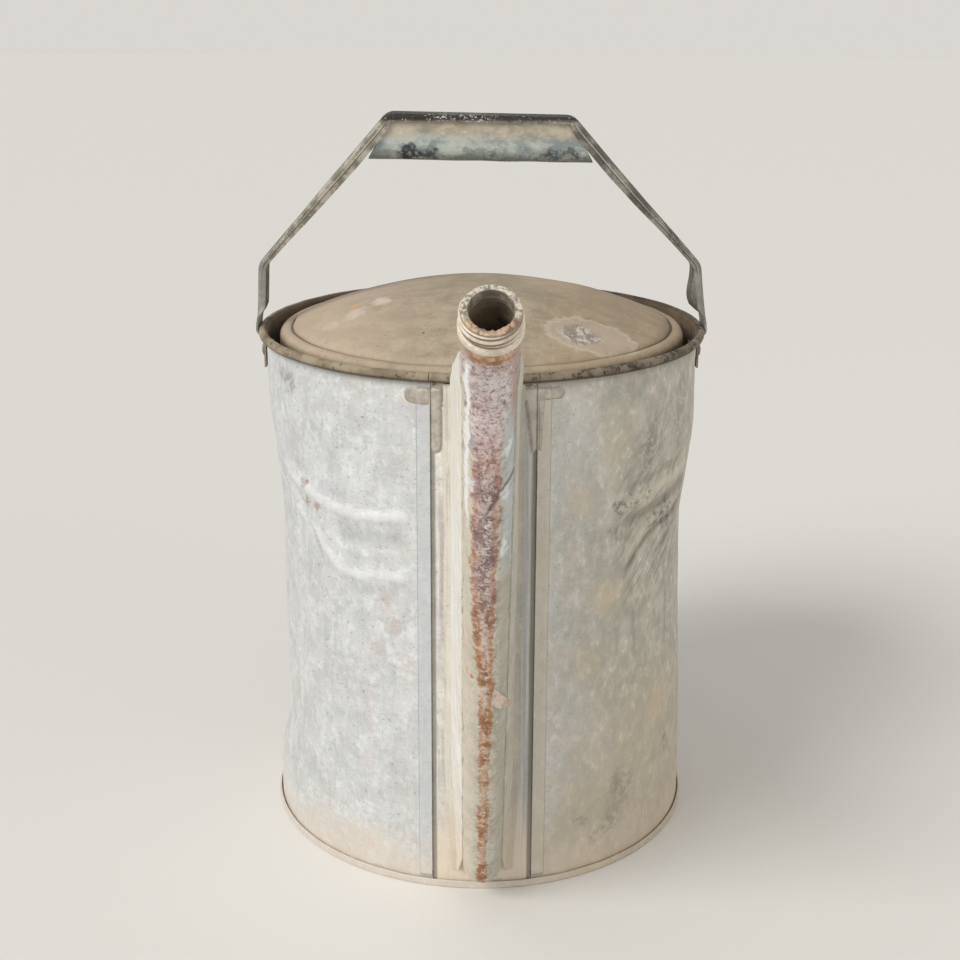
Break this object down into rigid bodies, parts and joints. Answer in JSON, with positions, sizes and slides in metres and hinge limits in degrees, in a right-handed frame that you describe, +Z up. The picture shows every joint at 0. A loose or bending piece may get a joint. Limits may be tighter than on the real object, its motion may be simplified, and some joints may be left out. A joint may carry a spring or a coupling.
{
  "type": "watering can",
  "caption": "Upright galvanised steel watering can, dented and rusty, with a half hood, a long front spout on a splayed support and a fixed strap handle.",
  "frame": {"origin": "on the floor, at the centre of the whole object's footprint; the body's axis stands at y = +0.0822", "axes": "+Z up, spout towards -Y, the strap handle spans X"},
  "size_m": [0.2662, 0.5006, 0.4271],
  "materials": {
    "body_zinc": "dull weathered galvanised sheet with spangle, dust and pale oxide",
    "hood_zinc": "dusty brown stained galvanised sheet",
    "strap_steel": "dark worn galvanised strap",
    "tube_rust": "rusted along its crest, zinc at its sides",
    "solder": "dull smooth solder",
    "ring_metal": "chalky cream grey metal with a chipped lip",
    "rim_steel": "rusty steel wire"
  },
  "bodies": {
    "root": {"body_wall": "body_zinc", "front_panel": "body_zinc", "bottom_pan": "body_zinc", "rim_wire": "rim_steel", "hood": "hood_zinc", "left_gusset": "body_zinc", "right_gusset": "body_zinc", "spout_tube": "tube_rust", "spout_sleeve": "tube_rust", "spout_ring": "ring_metal", "left_seam_solder": "solder", "right_seam_solder": "solder", "handle_strap": "strap_steel", "grip_sheath": "strap_steel", "rear_handle": "strap_steel", "left_foot_rivet_front": "strap_steel", "left_foot_rivet_rear": "strap_steel", "right_foot_rivet_front": "strap_steel", "right_foot_rivet_rear": "strap_steel", "rear_upper_rivet_left": "strap_steel", "rear_upper_rivet_right": "strap_steel", "rear_lower_rivet_left": "strap_steel", "rear_lower_rivet_right": "strap_steel"}
  },
  "joints": []
}
